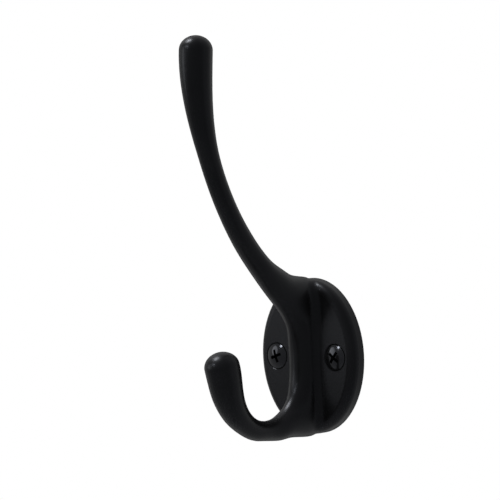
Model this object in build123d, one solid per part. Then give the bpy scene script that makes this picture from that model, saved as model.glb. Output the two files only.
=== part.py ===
from build123d import *
import os
from math import asin, atan2, cos, degrees, radians, sin, tan

# Coat and hat hook: one casting with an oval wall plate, a long upper arm and a short lower hook, held by
# countersunk wood screws. Sizes are in millimetres. The wall is the plane Y = 0, the hook stands out of it
# along -Y, and Z is up. The origin is the centre of the plate's back face.
# Points on the hook's middle plane are written (out, up): the distance from the wall, and the height.

# Wall plate, an ellipse
PLATE_WIDTH = 36.6
PLATE_HEIGHT = 46.0
PLATE_THICKNESS = 5.0
PLATE_EDGE_ROUND = 2.6

# Rib down the middle of the plate, which carries the arm and the hook
RIB_WIDTH = 9.0
RIB_HEIGHT = 5.2
RIB_BACK_COVER = 0.8
ROOT_FILLET = 2.5

# Upper arm
ARM_REACH = 46.7
ARM_RISE = 93.8
ARM_TIP_DIAMETER = 9.6
ARM_WAIST_DIAMETER = 5.8
ARM_ROOT_DIAMETER = 7.2
ARM_WAIST_PLACE = 0.5
ARM_ROOT_SWELL = 2.5
ARM_ROOT_AHEAD = 11.8
ARM_ROOT_ABOVE = 3.4
ARM_ROOT_SLOPE = 41.7
ARM_ROOT_PULL = 17.4
ARM_TIP_LEAN = 4.8
ARM_TIP_PULL = 27.5
ARM_STATIONS = (0, 0.1, 0.2, 0.3, 0.42, 0.55, 0.7, 0.85, 1)
ARM_FRONT_RADIUS = 16.0
ARM_FRONT_END = 2.5
ARM_ROOT_COVER = 10.0
ARM_FAN_END = 10.0
# Each row: turn up the front arc from the rib, length beyond it, back point ahead of the plate's face, back
# point above the plate's top, width
ARM_ROOT_FAN = (
    (45.0, 6.9, 9.0, 3.0, 7.6),
    (45.0, 0.0, 3.6, 1.1, 8.2),
    (28.0, 0.0, -1.5, 0.3, 8.6),
)

# Lower hook
HOOK_RADIUS = 16.8
HOOK_DROP = 23.0
HOOK_RISE = 4.3
HOOK_LEAN = 13.0
HOOK_TIP_DIAMETER = 10.2
HOOK_BOTTOM_DIAMETER = 5.9
THROAT_RADIUS = 12.8
HOOK_SWELL_START = 0.1
HOOK_STATIONS = (0.3, 0.5, 0.7, 0.85, 1)
HOOK_ROOT_COVER = 7.0
HOOK_FAN_START = 25.0
# Each row: turn down the throat from the rib, back point ahead of the plate's face, back point below the
# hook's bottom, width
HOOK_ROOT_FAN = (
    (37.0, -2.0, 0.1, 8.6),
    (50.0, 4.5, 0.3, 7.8),
    (72.0, 12.4, 0.35, 6.8),
)

# Domed ends of both
TIP_DOME_HEIGHT = 4.3

# Screws and their countersunk holes
SCREW_SPACING = 22.5
HOLE_DIAMETER = 4.8
SINK_DIAMETER = 8.2
SINK_ANGLE = 90.0
SEAT_CLEARANCE = 0.05
HEAD_DIAMETER = 7.4
HEAD_RIM = 0.3
HEAD_CROWN = 0.8
SHANK_DIAMETER = 3.8
THREAD_DIAMETER = 4.0
SCREW_LENGTH = 25.0
POINT_LENGTH = 5.0
RECESS_SPAN = 4.2
RECESS_WING = 1.1
RECESS_DEPTH = 2.2
RECESS_TAPER = 8.0
SCREW_TURNS = (18.0, 52.0)

# How far a cut starts outside the face it enters
CUT_MARGIN = 0.5

crest = PLATE_THICKNESS + RIB_HEIGHT
plate_top = PLATE_HEIGHT / 2
underside = -HOOK_DROP
throat_height = underside + HOOK_BOTTOM_DIAMETER + THROAT_RADIUS


def space(point):
    """A point (out, up) of the middle plane, in space."""
    return Vector(0, -point[0], point[1])


def turned(point, length, angle):
    """The point that lies a length away, at an angle above the outward direction."""
    return (point[0] + length * cos(radians(angle)), point[1] + length * sin(radians(angle)))


def eased(share):
    """A share from 0 to 1 that starts and ends gently."""
    return share * share * (3 - 2 * share)


def round_section(center, travel, diameter):
    """A round section square to the bar: its front point, its back point and its width."""
    return (turned(center, diameter / 2, travel + 90), turned(center, diameter / 2, travel - 90), diameter)


def half_oval(front, back, width):
    """The right half of a section, from its front point to its back point."""
    depth_line = space(front) - space(back)
    plane = Plane(
        origin=(space(front) + space(back)) / 2,
        x_dir=depth_line,
        z_dir=depth_line.cross(Vector(1, 0, 0)),
    )
    return plane * EllipticalCenterArc((0, 0), depth_line.length / 2, width / 2, start_angle=0, arc_size=180)


def half_dome(section, heading):
    """Half of the dome that closes a tip, turned about the tip's axis from front to back."""
    front, back, diameter = section
    center = (space(front) + space(back)) / 2
    way = space(turned((0, 0), 1, heading))
    plane = Plane(origin=center, x_dir=space(front) - center, z_dir=(space(front) - center).cross(way))
    quarter = plane * EllipticalCenterArc((0, 0), diameter / 2, TIP_DOME_HEIGHT, start_angle=0, arc_size=90)
    return Face.revolve(quarter, 180, Axis(center, way))


def bar(sections, headings):
    """The bar from tip to tip as one smooth skin, with a front line and a back line through every section."""
    halves = [half_oval(*section) for section in sections]
    front_line = Spline(*[space(front) for front, back, width in sections])
    back_line = Spline(*[space(back) for front, back, width in sections])
    skin = [Face.make_gordon_surface(halves, [front_line, back_line])]
    skin += [half_dome(sections[end], heading) for end, heading in zip((0, -1), headings)]
    skin += [mirror(face, about=Plane.YZ) for face in skin]
    return Solid(Shell(skin))


def plate():
    """The oval plate, with its front edge rounded."""
    slab = extrude(Plane.XZ * Ellipse(PLATE_WIDTH / 2, PLATE_HEIGHT / 2), PLATE_THICKNESS)
    front_edges = slab.faces().sort_by(Axis.Y)[0].edges()
    return fillet(front_edges, PLATE_EDGE_ROUND)


def arm_sections():
    """Sections of the upper arm from its tip to its root, with the waist between, and the tip's heading."""
    tip = (ARM_REACH, ARM_RISE - TIP_DOME_HEIGHT)
    root = (crest + ARM_ROOT_AHEAD, plate_top + ARM_ROOT_ABOVE)
    tip_heading = 90 + ARM_TIP_LEAN
    line = Bezier(
        space(tip),
        space(turned(tip, -ARM_TIP_PULL, tip_heading)),
        space(turned(root, ARM_ROOT_PULL, ARM_ROOT_SLOPE)),
        space(root),
    )
    sections = []
    for share in ARM_STATIONS:
        center, way = line @ share, line % share
        if share < ARM_WAIST_PLACE:
            end_diameter, swell = ARM_TIP_DIAMETER, eased(1 - share / ARM_WAIST_PLACE)
        else:
            end_diameter = ARM_ROOT_DIAMETER
            swell = ((share - ARM_WAIST_PLACE) / (1 - ARM_WAIST_PLACE)) ** ARM_ROOT_SWELL
        diameter = ARM_WAIST_DIAMETER + swell * (end_diameter - ARM_WAIST_DIAMETER)
        sections.append(round_section((-center.Y, center.Z), degrees(atan2(way.Z, -way.Y)), diameter))
    return sections, tip_heading


def level_section(height):
    """A level section of the rib, from its crest to its back inside the plate."""
    return ((crest, height), (RIB_BACK_COVER, height), RIB_WIDTH)


def arm_root_sections():
    """Sections that fan from the arm's root over the plate's top edge, down to the rib."""
    center = (crest + ARM_FRONT_RADIUS, ARM_FRONT_END)
    sections = []
    for turn, beyond, ahead, above, width in ARM_ROOT_FAN:
        front = turned(turned(center, ARM_FRONT_RADIUS, 180 - turn), beyond, 90 - turn)
        sections.append((front, (PLATE_THICKNESS + ahead, plate_top + above), width))
    front = turned(center, ARM_FRONT_RADIUS, 180 - ARM_FAN_END)
    sections.append((front, (RIB_BACK_COVER, plate_top - ARM_ROOT_COVER), RIB_WIDTH))
    return sections + [level_section(ARM_FRONT_END)]


def hook_root_sections():
    """Sections that fan from the rib over the plate's bottom edge, out to the lower hook's bottom."""
    center = (crest + THROAT_RADIUS, throat_height)
    front = turned(center, THROAT_RADIUS, 180 + HOOK_FAN_START)
    sections = [
        level_section(throat_height),
        (front, (RIB_BACK_COVER, underside + HOOK_ROOT_COVER), RIB_WIDTH),
    ]
    for turn, ahead, below, width in HOOK_ROOT_FAN:
        front = turned(center, THROAT_RADIUS, 180 + turn)
        sections.append((front, (PLATE_THICKNESS + ahead, underside - below), width))
    return sections


def hook_sections():
    """Sections of the lower hook from its lowest point to its tip, and the tip's heading."""
    bottom = (crest + THROAT_RADIUS, underside + HOOK_BOTTOM_DIAMETER / 2)
    center = (bottom[0], bottom[1] + HOOK_RADIUS)
    turn = 90 - HOOK_LEAN
    bend_end = turned(center, HOOK_RADIUS, turn - 90)
    straight = (HOOK_RISE - TIP_DOME_HEIGHT - bend_end[1]) / sin(radians(turn))
    bend_length = HOOK_RADIUS * radians(turn)
    sections = [round_section(bottom, 0, HOOK_BOTTOM_DIAMETER)]
    for share in (HOOK_SWELL_START, *HOOK_STATIONS):
        along = share * (bend_length + straight)
        heading = min(degrees(along / HOOK_RADIUS), turn)
        place = turned(turned(center, HOOK_RADIUS, heading - 90), max(0, along - bend_length), turn)
        swell = eased((share - HOOK_SWELL_START) / (1 - HOOK_SWELL_START))
        diameter = HOOK_BOTTOM_DIAMETER + swell * (HOOK_TIP_DIAMETER - HOOK_BOTTOM_DIAMETER)
        sections.append(round_section(place, heading, diameter))
    return sections, turn


def screw_axis(side):
    """The plane of a screw on the plate's face, with its normal out of the wall."""
    return Plane(origin=(side * SCREW_SPACING / 2, -PLATE_THICKNESS, 0), x_dir=(1, 0, 0), z_dir=(0, -1, 0))


def sink_tool():
    """What a countersunk hole takes out of the plate."""
    radius = HOLE_DIAMETER / 2
    rim = SINK_DIAMETER / 2
    depth = (rim - radius) / tan(radians(SINK_ANGLE / 2))
    end = -PLATE_THICKNESS - CUT_MARGIN
    points = [(0, CUT_MARGIN), (rim, CUT_MARGIN), (rim, 0), (radius, -depth), (radius, end), (0, end)]
    profile = make_face(Polyline(*points, close=True))
    return revolve(Plane.XZ * profile, Axis.Z)


def screw():
    """A countersunk wood screw with a crowned head and a cross recess, upright through the plate's face."""
    head = HEAD_DIAMETER / 2
    shank = SHANK_DIAMETER / 2
    thread = THREAD_DIAMETER / 2
    slope = tan(radians(SINK_ANGLE / 2))
    rim_top = HEAD_RIM - (SINK_DIAMETER / 2 - head) / slope + SEAT_CLEARANCE
    seat_top = rim_top - HEAD_RIM
    neck = seat_top - (head - shank) / slope
    wall = -PLATE_THICKNESS
    point = rim_top - SCREW_LENGTH
    top = rim_top + HEAD_CROWN
    crown_radius = (head**2 + HEAD_CROWN**2) / (2 * HEAD_CROWN)
    crown_turn = degrees(asin(head / crown_radius))
    profile = make_face(
        Polyline((0, top), (0, point), (thread, point + POINT_LENGTH), (thread, wall), (shank, wall),
                 (shank, neck), (head, seat_top), (head, rim_top))
        + CenterArc((0, top - crown_radius), crown_radius, 90 - crown_turn, crown_turn)
    )
    body = revolve(Plane.XZ * profile, Axis.Z)
    cross = Rectangle(RECESS_SPAN, RECESS_WING) + Rectangle(RECESS_WING, RECESS_SPAN)
    tool = extrude(Plane.XY.offset(top + CUT_MARGIN) * cross, -RECESS_DEPTH - CUT_MARGIN, taper=RECESS_TAPER)
    return body - tool


arm, arm_heading = arm_sections()
hook, hook_heading = hook_sections()
wall_plate = plate()
prongs = bar(arm + arm_root_sections() + hook_root_sections() + hook, (arm_heading, hook_heading))
hook_body = wall_plate + prongs
hook_body = fillet(new_edges(wall_plate, prongs, combined=hook_body), ROOT_FILLET)
screw_axes = [screw_axis(side) for side in (-1, 1)]
for axis in screw_axes:
    hook_body -= axis * sink_tool()
mounting_screws = Compound([axis * Rot(Z=turn) * screw() for axis, turn in zip(screw_axes, SCREW_TURNS)])

os.makedirs("parts", exist_ok=True)
export_step(hook_body, "parts/hook_body.step")
export_step(mounting_screws, "parts/mounting_screws.step")
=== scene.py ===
from math import cos, pi, radians, sin, tan

import bmesh
import bpy
from mathutils import Matrix, Vector


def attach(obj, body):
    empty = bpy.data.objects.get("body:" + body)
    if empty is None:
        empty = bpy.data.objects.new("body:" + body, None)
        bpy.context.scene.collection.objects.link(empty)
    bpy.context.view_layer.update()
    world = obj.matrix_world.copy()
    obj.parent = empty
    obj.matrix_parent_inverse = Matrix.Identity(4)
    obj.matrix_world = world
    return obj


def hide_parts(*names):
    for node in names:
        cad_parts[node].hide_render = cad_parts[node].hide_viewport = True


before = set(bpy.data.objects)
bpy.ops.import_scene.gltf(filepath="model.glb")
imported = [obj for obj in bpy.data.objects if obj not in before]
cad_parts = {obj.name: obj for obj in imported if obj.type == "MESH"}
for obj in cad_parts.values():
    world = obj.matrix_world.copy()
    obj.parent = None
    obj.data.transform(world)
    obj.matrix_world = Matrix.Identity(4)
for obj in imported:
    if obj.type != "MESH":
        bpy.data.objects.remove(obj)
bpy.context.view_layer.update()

# The frame: Z is up, the wall is at y = 0, and the hook stands out along -Y. Lengths are in metres.
MM = 0.001

# Sizes that the solids have too. Heights on a screw count from the plate's front, out of the wall.
PLATE_THICKNESS = 5.0 * MM
SCREW_SPACING = 22.5 * MM
LEFT_SCREW_TURN, RIGHT_SCREW_TURN = radians(18), radians(52)
HEAD_RADIUS = 3.7 * MM
SHANK_RADIUS = 1.9 * MM
THREAD_RADIUS = 2.0 * MM
POINT_LENGTH = 5.0 * MM
RIM_TOP = -0.05 * MM
SEAT_TOP = -0.35 * MM
NECK = -2.15 * MM
WALL = -PLATE_THICKNESS
POINT = -25.05 * MM
CROWN = 0.8 * MM
RECESS_SPAN = 4.2 * MM
RECESS_WING = 1.1 * MM
RECESS_DEPTH = 2.2 * MM
RECESS_TAPER = radians(8)
# The recess has its full span this far above the crown
CUT_MARGIN = 0.5 * MM

# Screw detail that only the scene has
CORE_RADIUS = 1.35 * MM
THREAD_PITCH = 1.6 * MM
# Shares of the point's length and of the pitch, over which the core narrows and meets the shank
CORE_TAPER, CORE_BLEND = 0.9, 0.5
# The ridge's middle and half its width, as shares of the pitch
RIDGE_PLACE, RIDGE_HALF_WIDTH = 0.5, 0.24
RECESS_START = -0.4 * MM
RECESS_TIP = 0.3 * MM
AROUND = 48
PER_PITCH = 14
CROWN_RINGS = 10
MERGE_DISTANCE = 1e-7
SHARP_ANGLE = radians(35)

# Coats: linear colours, gloss, roughness from and to, the grain's scale and its depth
COAT_DARK, COAT_LIGHT = (0.0022, 0.0022, 0.0023), (0.0034, 0.0034, 0.0036)
COAT_SHEEN, COAT_ROUGH = 0.09, (0.28, 0.34)
COAT_GRAIN = (2200, 0.04 * MM)
SCREW_DARK, SCREW_LIGHT = (0.0025, 0.0025, 0.0026), (0.0040, 0.0040, 0.0042)
SCREW_SHEEN, SCREW_ROUGH = 0.22, (0.10, 0.15)
SCREW_GRAIN = (1200, 0.02 * MM)
COOL = (0.82, 0.87, 1.0)
TONE_SCALE, TONE_DETAIL = 90, 4
GRAIN_DETAIL, GRAIN_ROUGHNESS = 2, 0.6
BUMP_STRENGTH = 0.35
# Roughness that is added at glancing angles, and the facing value at which it starts
EDGE_ROUGH, EDGE_START = 0.40, 0.45
# The part of a noise's range that is used
NOISE_LOW, NOISE_HIGH = 0.3, 0.7

# Stage
WALL_BEHIND = 0.3 * MM
WALL_HALF_WIDTH, WALL_TOP = 0.6, 0.6
FLOOR_BELOW = 1.0
FLOOR_HALF_WIDTH = 12
FLOOR_DARK, FLOOR_LIGHT = (0.87, 0.87, 0.87), (0.89, 0.89, 0.89)
FLOOR_SCALE, FLOOR_DETAIL, FLOOR_ROUGH = 6, 3, 0.8

# Light: name, azimuth and elevation in degrees, size and watts.
# Azimuth 0 stands in front of the wall, and 90 at its right.
LAMPS = (
    ("key", -100, 44, 0.60, 1.2),
    ("top", -60, 62, 0.35, 14.0),
    ("top_behind", 180, 72, 0.45, 0.6),
    ("front", -22, 29, 0.15, 2.6),
    ("left_low", -48, 9, 0.50, 2.1),
)
LAMP_TARGET = Vector((0, -0.02, 0.03))
LAMP_DISTANCE = 1.0
WORLD_LEVEL = 0.65

# Camera, at the photograph's viewing angle. ORIGIN_PX is where the frame's origin is seen.
AZIMUTH, ELEVATION, ROLL = radians(42.488), radians(1.735), radians(-2.206)
DISTANCE = 0.7
FOCAL_PX = 2364.0
ORIGIN_PX = (316.58, 355.34)
IMAGE = 500
SENSOR_WIDTH = 36
CLIP_START, CLIP_END = 0.01, 50


# Helpers
def add(name, data):
    obj = bpy.data.objects.new(name, data)
    bpy.context.scene.collection.objects.link(obj)
    return obj


def outward(azimuth, elevation):
    """The direction in which a lamp or the camera stands."""
    level = cos(elevation)
    return Vector((sin(azimuth) * level, -cos(azimuth) * level, sin(elevation)))


def node(tree, kind, inputs):
    """A new node. Each input is a constant or another node's output."""
    made = tree.nodes.new(kind)
    for key, value in inputs.items():
        if isinstance(value, bpy.types.NodeSocket):
            tree.links.new(value, made.inputs[key])
        else:
            made.inputs[key].default_value = value
    return made


def combine(tree, operation, first, second):
    made = node(tree, "ShaderNodeMath", {0: first, 1: second})
    made.operation = operation
    return made.outputs[0]


def noise(tree, scale, detail, roughness=0.5):
    coords = tree.nodes.new("ShaderNodeTexCoord").outputs["Object"]
    inputs = {"Vector": coords, "Scale": scale, "Detail": detail, "Roughness": roughness}
    return node(tree, "ShaderNodeTexNoise", inputs).outputs["Fac"]


def ramp(tree, value, low, high):
    inputs = {"Value": value, "From Min": NOISE_LOW, "From Max": NOISE_HIGH}
    inputs |= {"To Min": low, "To Max": high}
    return node(tree, "ShaderNodeMapRange", inputs).outputs["Result"]


def tint(tree, value, low, high):
    made = node(tree, "ShaderNodeValToRGB", {"Fac": value})
    ends = made.color_ramp.elements
    ends[0].position, ends[1].position = NOISE_LOW, NOISE_HIGH
    ends[0].color, ends[1].color = (*low, 1), (*high, 1)
    return made.outputs["Color"]


def material(name):
    made = bpy.data.materials.new(name)
    made.use_nodes = True
    made.node_tree.nodes.clear()
    return made, made.node_tree


def show(tree, surface):
    node(tree, "ShaderNodeOutputMaterial", {"Surface": surface})


def paint(obj, made):
    obj.data.materials.clear()
    obj.data.materials.append(made)


# Materials
def edge_rough(tree, rough):
    """Adds roughness at glancing angles, as the grain of a sprayed coat does."""
    facing = tree.nodes.new("ShaderNodeLayerWeight").outputs["Facing"]
    inputs = {"Value": facing, "From Min": EDGE_START, "From Max": 1, "To Max": EDGE_ROUGH}
    glancing = node(tree, "ShaderNodeMapRange", inputs)
    glancing.interpolation_type = "SMOOTHSTEP"
    return combine(tree, "ADD", rough, glancing.outputs["Result"])


def coating(name, dark, light, sheen, rough, grain_scale, grain_depth):
    """A black coat on metal: a slightly uneven tone and gloss, and a fine orange-peel skin."""
    made, tree = material(name)
    tone = noise(tree, TONE_SCALE, TONE_DETAIL)
    grain = noise(tree, grain_scale, GRAIN_DETAIL, GRAIN_ROUGHNESS)
    peel = {"Strength": BUMP_STRENGTH, "Distance": grain_depth, "Height": grain}
    inputs = {
        "Base Color": tint(tree, tone, dark, light),
        "Roughness": edge_rough(tree, ramp(tree, tone, *rough)),
        "Specular IOR Level": sheen,
        "Specular Tint": (*COOL, 1),
        "Normal": node(tree, "ShaderNodeBump", peel).outputs["Normal"],
    }
    show(tree, node(tree, "ShaderNodeBsdfPrincipled", inputs).outputs["BSDF"])
    return made


black_coating = coating(
    "black_coating", COAT_DARK, COAT_LIGHT, COAT_SHEEN, COAT_ROUGH, *COAT_GRAIN
)
black_screw = coating(
    "black_screw", SCREW_DARK, SCREW_LIGHT, SCREW_SHEEN, SCREW_ROUGH, *SCREW_GRAIN
)

paint(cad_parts["hook_body"], black_coating)
paint(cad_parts["mounting_screws"], black_screw)


# Screws: the same form as the solids, with a real thread and a recess with a pointed bottom
def finished(shape, name):
    bmesh.ops.recalc_face_normals(shape, faces=shape.faces)
    mesh = bpy.data.meshes.new(name)
    shape.to_mesh(mesh)
    shape.free()
    return mesh


def ring(shape, radius, height):
    turns = [k * (2 * pi / AROUND) for k in range(AROUND)]
    return [shape.verts.new((radius * cos(t), radius * sin(t), height)) for t in turns]


def bridge(shape, upper, lower):
    for k in range(len(upper)):
        n = (k + 1) % len(upper)
        shape.faces.new((upper[k], lower[k], lower[n], upper[n]))


def add_head(shape):
    """Crown, rim, countersink and shank, turned about the axis."""
    crown_radius = (HEAD_RADIUS**2 + CROWN**2) / (2 * CROWN)
    profile = []
    for k in range(1, CROWN_RINGS + 1):
        reach = HEAD_RADIUS * k / CROWN_RINGS
        rise = (crown_radius**2 - reach**2) ** 0.5
        profile.append((reach, RIM_TOP + CROWN - crown_radius + rise))
    profile += [(HEAD_RADIUS, SEAT_TOP), (SHANK_RADIUS, NECK), (SHANK_RADIUS, WALL)]
    rings = [ring(shape, *point) for point in profile]
    top = shape.verts.new((0, 0, RIM_TOP + CROWN))
    for k in range(AROUND):
        shape.faces.new((top, rings[0][k], rings[0][(k + 1) % AROUND]))
    for upper, lower in zip(rings, rings[1:]):
        bridge(shape, upper, lower)


def thread_radius(height, phase):
    """The thread's surface: a sharp ridge on a slim core, from the shank to the point."""
    to_point = height - POINT
    from_shank = WALL - height
    outer = THREAD_RADIUS * min(1, to_point / POINT_LENGTH)
    core = CORE_RADIUS * min(1, to_point / (CORE_TAPER * POINT_LENGTH))
    core += (SHANK_RADIUS - core) * max(0, 1 - from_shank / (CORE_BLEND * THREAD_PITCH))
    ridge = max(0, 1 - abs(phase - RIDGE_PLACE) / RIDGE_HALF_WIDTH)
    ridge *= min(1, from_shank / THREAD_PITCH)
    return core + max(0, outer - core) * ridge


def add_thread(shape):
    """Rows of faces that follow the helix, held between the shank's end and the point."""
    rows = int((WALL - POINT) / THREAD_PITCH * PER_PITCH) + 2 * PER_PITCH
    columns = []
    for j in range(AROUND + 1):
        angle = 2 * pi * j / AROUND
        column = []
        for k in range(rows + 1):
            height = WALL + THREAD_PITCH * (1 - k / PER_PITCH - j / AROUND)
            height = min(WALL, max(POINT, height))
            radius = thread_radius(height, k % PER_PITCH / PER_PITCH)
            column.append(shape.verts.new((radius * cos(angle), -radius * sin(angle), height)))
        columns.append(column)
    for left, right in zip(columns, columns[1:]):
        for k in range(rows):
            shape.faces.new((left[k], right[k], right[k + 1], left[k + 1]))


def screw_mesh():
    shape = bmesh.new()
    add_head(shape)
    add_thread(shape)
    bmesh.ops.remove_doubles(shape, verts=shape.verts, dist=MERGE_DISTANCE)
    return finished(shape, "screw")


def recess_mesh():
    """The cross that the driver enters: tapered wings and a pointed bottom."""
    shape = bmesh.new()
    loops = []
    for depth in (RECESS_START, RECESS_DEPTH):
        pull = (depth + CUT_MARGIN) * tan(RECESS_TAPER)
        span, wing = RECESS_SPAN / 2 - pull, RECESS_WING / 2 - pull
        outline = [(span, wing), (wing, wing), (wing, span)]
        points = []
        for quarter in range(4):
            c, s = cos(quarter * pi / 2), sin(quarter * pi / 2)
            points += [(x * c - y * s, x * s + y * c) for x, y in outline]
        height = RIM_TOP + CROWN - depth
        loops.append([shape.verts.new((x, y, height)) for x, y in points])
    upper, lower = loops
    bridge(shape, upper, lower)
    shape.faces.new(upper)
    bottom = shape.verts.new((0, 0, RIM_TOP + CROWN - RECESS_DEPTH - RECESS_TIP))
    for k in range(len(lower)):
        shape.faces.new((lower[k], bottom, lower[(k + 1) % len(lower)]))
    return finished(shape, "recess")


def screw(name, side, turn):
    obj = add(name, screw_mesh())
    tool = add("recess", recess_mesh())
    tool.rotation_euler = (0, 0, turn)
    cut = obj.modifiers.new("recess", "BOOLEAN")
    cut.object = tool
    cut.operation = "DIFFERENCE"
    cut.solver = "EXACT"
    bpy.context.view_layer.update()
    depsgraph = bpy.context.evaluated_depsgraph_get()
    ready = bpy.data.meshes.new_from_object(obj.evaluated_get(depsgraph))
    obj.modifiers.clear()
    obj.data = ready
    bpy.data.objects.remove(tool)
    out_of_wall = Matrix(((1, 0, 0), (0, 0, -1), (0, 1, 0))).to_4x4()
    at_hole = Matrix.Translation((side * SCREW_SPACING / 2, -PLATE_THICKNESS, 0))
    ready.transform(at_hole @ out_of_wall)
    for face in ready.polygons:
        face.use_smooth = True
    ready.set_sharp_from_angle(angle=SHARP_ANGLE)
    paint(obj, black_screw)
    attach(obj, "root")
    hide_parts("mounting_screws")


screw("screw_left", -1, LEFT_SCREW_TURN)
screw("screw_right", 1, RIGHT_SCREW_TURN)


# Stage: a wall behind the plate, white to the rays that see a background and clear to the rest,
# and a pale floor far below. Both show from the front only, so views from behind and below are free.
def one_sided(tree, surface):
    behind = tree.nodes.new("ShaderNodeNewGeometry").outputs["Backfacing"]
    clear = tree.nodes.new("ShaderNodeBsdfTransparent").outputs[0]
    return node(tree, "ShaderNodeMixShader", {"Fac": behind, 1: surface, 2: clear}).outputs[0]


def wall_white():
    made, tree = material("wall_white")
    path = tree.nodes.new("ShaderNodeLightPath").outputs
    seen = combine(tree, "MAXIMUM", path["Is Camera Ray"], path["Is Glossy Ray"])
    seen = combine(tree, "MAXIMUM", seen, path["Is Transmission Ray"])
    clear = tree.nodes.new("ShaderNodeBsdfTransparent").outputs[0]
    white = node(tree, "ShaderNodeEmission", {"Color": (1, 1, 1, 1)}).outputs[0]
    card = node(tree, "ShaderNodeMixShader", {"Fac": seen, 1: clear, 2: white})
    show(tree, one_sided(tree, card.outputs[0]))
    return made


def floor_pale():
    made, tree = material("floor_pale")
    tone = tint(tree, noise(tree, FLOOR_SCALE, FLOOR_DETAIL), FLOOR_DARK, FLOOR_LIGHT)
    inputs = {"Base Color": tone, "Roughness": FLOOR_ROUGH}
    shader = node(tree, "ShaderNodeBsdfPrincipled", inputs)
    show(tree, one_sided(tree, shader.outputs["BSDF"]))
    return made


def stage_plane(name, corners, made):
    mesh = bpy.data.meshes.new(name)
    mesh.from_pydata(corners, [], [tuple(range(len(corners)))])
    obj = add(name, mesh)
    paint(obj, made)


def rectangle(left, low, right, high):
    return [(left, low), (right, low), (right, high), (left, high)]


wall = rectangle(-WALL_HALF_WIDTH, -FLOOR_BELOW, WALL_HALF_WIDTH, WALL_TOP)
stage_plane("wall", [(x, WALL_BEHIND, z) for x, z in wall], wall_white())
floor = rectangle(-FLOOR_HALF_WIDTH, -FLOOR_HALF_WIDTH, FLOOR_HALF_WIDTH, FLOOR_HALF_WIDTH)
stage_plane("floor", [(x, y, -FLOOR_BELOW) for x, y in floor], floor_pale())


# Light
def area_light(name, azimuth, elevation, size, power):
    away = outward(radians(azimuth), radians(elevation))
    lamp = bpy.data.lights.new(name, "AREA")
    lamp.shape = "DISK"
    lamp.size = size
    lamp.energy = power
    obj = add(name, lamp)
    obj.location = LAMP_TARGET + away * LAMP_DISTANCE
    obj.rotation_euler = (-away).to_track_quat("-Z", "Y").to_euler()


def light_room():
    world = bpy.data.worlds.new("studio")
    bpy.context.scene.world = world
    world.use_nodes = True
    tree = world.node_tree
    tree.nodes.clear()
    level = {"Color": (1, 1, 1, 1), "Strength": WORLD_LEVEL}
    room = node(tree, "ShaderNodeBackground", level)
    node(tree, "ShaderNodeOutputWorld", {"Surface": room.outputs[0]})


for lamp_values in LAMPS:
    area_light(*lamp_values)
light_room()


# Camera
def place_camera():
    away = outward(AZIMUTH, ELEVATION)
    level = Vector((cos(AZIMUTH), sin(AZIMUTH), 0))
    upright = away.cross(level)
    right = level * cos(ROLL) + upright * sin(ROLL)
    up = upright * cos(ROLL) - level * sin(ROLL)
    across = (ORIGIN_PX[0] - IMAGE / 2) / FOCAL_PX * DISTANCE
    above = -(ORIGIN_PX[1] - IMAGE / 2) / FOCAL_PX * DISTANCE
    place = away * DISTANCE - right * across - up * above
    lens = bpy.data.cameras.new("camera")
    lens.sensor_width = SENSOR_WIDTH
    lens.lens = FOCAL_PX * SENSOR_WIDTH / IMAGE
    lens.clip_start, lens.clip_end = CLIP_START, CLIP_END
    camera = add("camera", lens)
    turn = Matrix((right, up, away)).transposed().to_4x4()
    camera.matrix_world = Matrix.Translation(place) @ turn
    bpy.context.scene.camera = camera


place_camera()

bpy.context.scene.view_settings.view_transform = "Standard"
